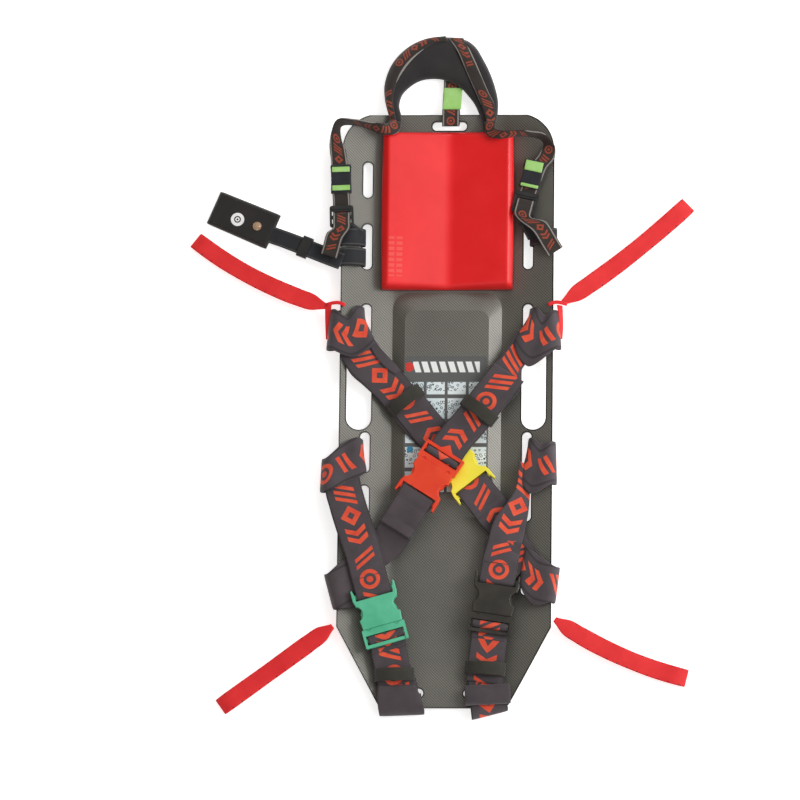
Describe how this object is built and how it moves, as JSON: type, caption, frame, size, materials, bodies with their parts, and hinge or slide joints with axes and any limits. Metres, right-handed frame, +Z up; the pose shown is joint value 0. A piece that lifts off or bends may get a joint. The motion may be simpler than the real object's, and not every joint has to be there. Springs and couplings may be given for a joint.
{
  "type": "rescue stretcher",
  "caption": "Carbon rescue board with a crossed webbing harness on side-release buckles, a V-shaped head pad, a padded drag yoke and webbing handles.",
  "frame": {"origin": "middle of the harness area, 2 mm towards the foot from the middle of the board, on the flat underside it rests on", "axes": "+Z up through the patient side, +Y towards the head and the drag yoke, +X to the right when seen from above with the head up"},
  "size_m": [0.6977, 0.9477, 0.0398],
  "materials": {
    "carbon": "clear-coated carbon twill",
    "label": "printed film",
    "pad_red": "glossy vinyl skin over foam",
    "hook_tape": "hook tape",
    "harness_webbing": "woven polyester, orange-red print",
    "elastic_band": "woven elastic",
    "buckle_red": "moulded acetal, satin",
    "buckle_yellow": "moulded acetal, satin",
    "buckle_green": "moulded acetal, satin",
    "buckle_black": "moulded acetal, satin",
    "handle_webbing": "woven red polyester with dark bar tacks",
    "yoke_fabric": "matt black spacer fabric",
    "narrow_webbing": "woven webbing with grey edge lines",
    "sleeve_elastic": "woven elastic",
    "green_tab": "bright green folded tape",
    "lock_plastic": "moulded acetal",
    "flap_fabric": "brushed loop fabric over foam",
    "disc_white": "printed disc",
    "snap_brass": "polished"
  },
  "bodies": {
    "root": {"board": "carbon", "instruction_label": "label", "head_pad": "pad_red", "pad_hook_strips": "hook_tape", "red_socket": "buckle_red", "yellow_socket": "buckle_yellow", "green_socket": "buckle_green", "black_socket": "buckle_black", "shoulder_strap_left": "harness_webbing", "shoulder_strap_right": "harness_webbing", "hip_strap_left": "harness_webbing", "hip_strap_right": "harness_webbing", "leg_strap_left_upper": "harness_webbing", "leg_strap_right_upper": "harness_webbing", "leg_strap_left_lower": "harness_webbing", "leg_strap_right_lower": "harness_webbing", "handle_tie_left": "handle_webbing", "handle_tie_right": "handle_webbing", "centre_loop": "narrow_webbing", "centre_tab": "green_tab", "left_side_web": "narrow_webbing", "left_slot_web": "narrow_webbing", "left_web_sleeve": "sleeve_elastic", "left_green_tabs": "green_tab", "right_side_web": "narrow_webbing", "right_slot_web": "narrow_webbing", "right_web_sleeve": "sleeve_elastic", "right_green_tabs": "green_tab", "tab_loop": "narrow_webbing"},
    "red_tongue": {"red_tongue": "buckle_red"},
    "red_prong_left": {"red_prong_left": "buckle_red"},
    "red_prong_right": {"red_prong_right": "buckle_red"},
    "yellow_tongue": {"yellow_tongue": "buckle_yellow"},
    "yellow_prong_left": {"yellow_prong_left": "buckle_yellow"},
    "yellow_prong_right": {"yellow_prong_right": "buckle_yellow"},
    "green_tongue": {"green_tongue": "buckle_green"},
    "green_prong_left": {"green_prong_left": "buckle_green"},
    "green_prong_right": {"green_prong_right": "buckle_green"},
    "black_tongue": {"black_tongue": "buckle_black"},
    "black_prong_left": {"black_prong_left": "buckle_black"},
    "black_prong_right": {"black_prong_right": "buckle_black"},
    "keeper_shoulder_left": {"keeper_shoulder_left": "elastic_band"},
    "keeper_shoulder_right": {"keeper_shoulder_right": "elastic_band"},
    "keeper_leg_left": {"keeper_leg_left": "elastic_band"},
    "keeper_leg_right": {"keeper_leg_right": "elastic_band"},
    "handle_head_left": {"handle_head_left": "handle_webbing"},
    "handle_head_right": {"handle_head_right": "handle_webbing"},
    "handle_foot_left": {"handle_foot_left": "handle_webbing"},
    "handle_foot_right": {"handle_foot_right": "handle_webbing"},
    "yoke": {"yoke_pad": "yoke_fabric", "yoke_webbing_left": "narrow_webbing", "yoke_webbing_right": "narrow_webbing"},
    "left_ladder_lock": {"left_ladder_lock": "lock_plastic"},
    "right_ladder_lock": {"right_ladder_lock": "lock_plastic"},
    "head_tab": {"tab_strap": "narrow_webbing", "tab_slider": "lock_plastic", "tab_flap": "flap_fabric", "tab_disc": "disc_white", "tab_snap": "snap_brass"}
  },
  "joints": [
    {"name": "red_tongue_pull", "type": "slide", "parent": "root", "child": "red_tongue", "axis": [0.5358, 0.8443, 0], "range_m": [0, 0.03], "deforming": ["red_prong_left", "red_prong_right", "shoulder_strap_right"]},
    {"name": "red_prong_left_squeeze", "type": "hinge", "parent": "red_tongue", "child": "red_prong_left", "pos_m": [-0.02796, -0.07085, 0.0333], "axis": [0, 0, 1], "range_deg": [0, 14], "stiffness_Nm_per_rad": 0.4},
    {"name": "red_prong_right_squeeze", "type": "hinge", "parent": "red_tongue", "child": "red_prong_right", "pos_m": [0.00496, -0.09175, 0.0333], "axis": [0, 0, -1], "range_deg": [0, 14], "stiffness_Nm_per_rad": 0.4},
    {"name": "yellow_tongue_pull", "type": "slide", "parent": "root", "child": "yellow_tongue", "axis": [-0.6157, 0.788, 0], "range_m": [0, 0.03], "deforming": ["yellow_prong_left", "yellow_prong_right", "shoulder_strap_left"]},
    {"name": "yellow_prong_left_squeeze", "type": "hinge", "parent": "yellow_tongue", "child": "yellow_prong_left", "pos_m": [-0.00507, -0.08131, 0.0195], "axis": [0, 0, 1], "range_deg": [0, 14], "stiffness_Nm_per_rad": 0.4},
    {"name": "yellow_prong_right_squeeze", "type": "hinge", "parent": "yellow_tongue", "child": "yellow_prong_right", "pos_m": [0.02567, -0.05729, 0.0195], "axis": [0, 0, -1], "range_deg": [0, 14], "stiffness_Nm_per_rad": 0.4},
    {"name": "green_tongue_pull", "type": "slide", "parent": "root", "child": "green_tongue", "axis": [0.2756, -0.9613, 0], "range_m": [0, 0.03], "deforming": ["green_prong_left", "green_prong_right", "leg_strap_left_lower"]},
    {"name": "green_prong_left_squeeze", "type": "hinge", "parent": "green_tongue", "child": "green_prong_left", "pos_m": [-0.06345, -0.29563, 0.03], "axis": [0, 0, 1], "range_deg": [0, 14], "stiffness_Nm_per_rad": 0.4},
    {"name": "green_prong_right_squeeze", "type": "hinge", "parent": "green_tongue", "child": "green_prong_right", "pos_m": [-0.10094, -0.30638, 0.03], "axis": [0, 0, -1], "range_deg": [0, 14], "stiffness_Nm_per_rad": 0.4},
    {"name": "black_tongue_pull", "type": "slide", "parent": "root", "child": "black_tongue", "axis": [-0.1478, -0.989, 0], "range_m": [0, 0.03], "deforming": ["black_prong_left", "black_prong_right", "leg_strap_right_lower"]},
    {"name": "black_prong_left_squeeze", "type": "hinge", "parent": "black_tongue", "child": "black_prong_left", "pos_m": [0.08599, -0.28828, 0.03], "axis": [0, 0, 1], "range_deg": [0, 14], "stiffness_Nm_per_rad": 0.4},
    {"name": "black_prong_right_squeeze", "type": "hinge", "parent": "black_tongue", "child": "black_prong_right", "pos_m": [0.04741, -0.28252, 0.03], "axis": [0, 0, -1], "range_deg": [0, 14], "stiffness_Nm_per_rad": 0.4},
    {"name": "keeper_shoulder_left_slide", "type": "slide", "parent": "root", "child": "keeper_shoulder_left", "axis": [0.6285, -0.7777, -0.0132], "range_m": [-0.018, 0.018]},
    {"name": "keeper_shoulder_right_slide", "type": "slide", "parent": "root", "child": "keeper_shoulder_right", "axis": [-0.6055, -0.7956, 0.0205], "range_m": [-0.018, 0.018]},
    {"name": "keeper_leg_left_slide", "type": "slide", "parent": "root", "child": "keeper_leg_left", "axis": [0.2355, -0.9704, -0.0528], "range_m": [-0.006, 0.006]},
    {"name": "keeper_leg_right_slide", "type": "slide", "parent": "root", "child": "keeper_leg_right", "axis": [-0.069, -0.9966, -0.0459], "range_m": [-0.006, 0.006]},
    {"name": "handle_head_left_lift", "type": "hinge", "parent": "root", "child": "handle_head_left", "pos_m": [-0.166, 0.145, 0.017], "axis": [0.4626, 0.8866, 0], "range_deg": [0, 105]},
    {"name": "handle_head_right_lift", "type": "hinge", "parent": "root", "child": "handle_head_right", "pos_m": [0.16, 0.15, 0.017], "axis": [0.6308, -0.776, 0], "range_deg": [0, 105]},
    {"name": "handle_foot_left_lift", "type": "hinge", "parent": "root", "child": "handle_foot_left", "pos_m": [-0.152, -0.3, 0.017], "axis": [-0.5837, 0.8119, 0], "range_deg": [0, 105]},
    {"name": "handle_foot_right_lift", "type": "hinge", "parent": "root", "child": "handle_foot_right", "pos_m": [0.152, -0.29, 0.017], "axis": [-0.4038, -0.9149, 0], "range_deg": [0, 105]},
    {"name": "yoke_fold", "type": "hinge", "parent": "root", "child": "yoke", "pos_m": [0, 0.398, 0.0177], "axis": [1, 0, 0], "range_deg": [0, 85], "deforming": ["centre_loop", "centre_tab", "left_side_web", "right_side_web"]},
    {"name": "left_lock_tilt", "type": "hinge", "parent": "root", "child": "left_ladder_lock", "pos_m": [-0.14563, 0.25651, 0.0295], "axis": [0.9995, 0.0322, 0], "range_deg": [0, 30], "deforming": ["left_side_web", "left_slot_web"]},
    {"name": "right_lock_tilt", "type": "hinge", "parent": "root", "child": "right_ladder_lock", "pos_m": [0.10501, 0.27477, 0.0295], "axis": [0.9763, -0.2164, 0], "range_deg": [0, 30], "deforming": ["right_side_web", "right_slot_web"]},
    {"name": "head_tab_lift", "type": "hinge", "parent": "root", "child": "head_tab", "pos_m": [-0.158, 0.212, 0.019], "axis": [0.3876, 0.9218, 0], "range_deg": [0, 110]}
  ],
  "couplings": [
    {"joint": "red_prong_right_squeeze", "follows": "red_prong_left_squeeze", "ratio": 1},
    {"joint": "yellow_prong_right_squeeze", "follows": "yellow_prong_left_squeeze", "ratio": 1},
    {"joint": "green_prong_right_squeeze", "follows": "green_prong_left_squeeze", "ratio": 1},
    {"joint": "black_prong_right_squeeze", "follows": "black_prong_left_squeeze", "ratio": 1}
  ]
}
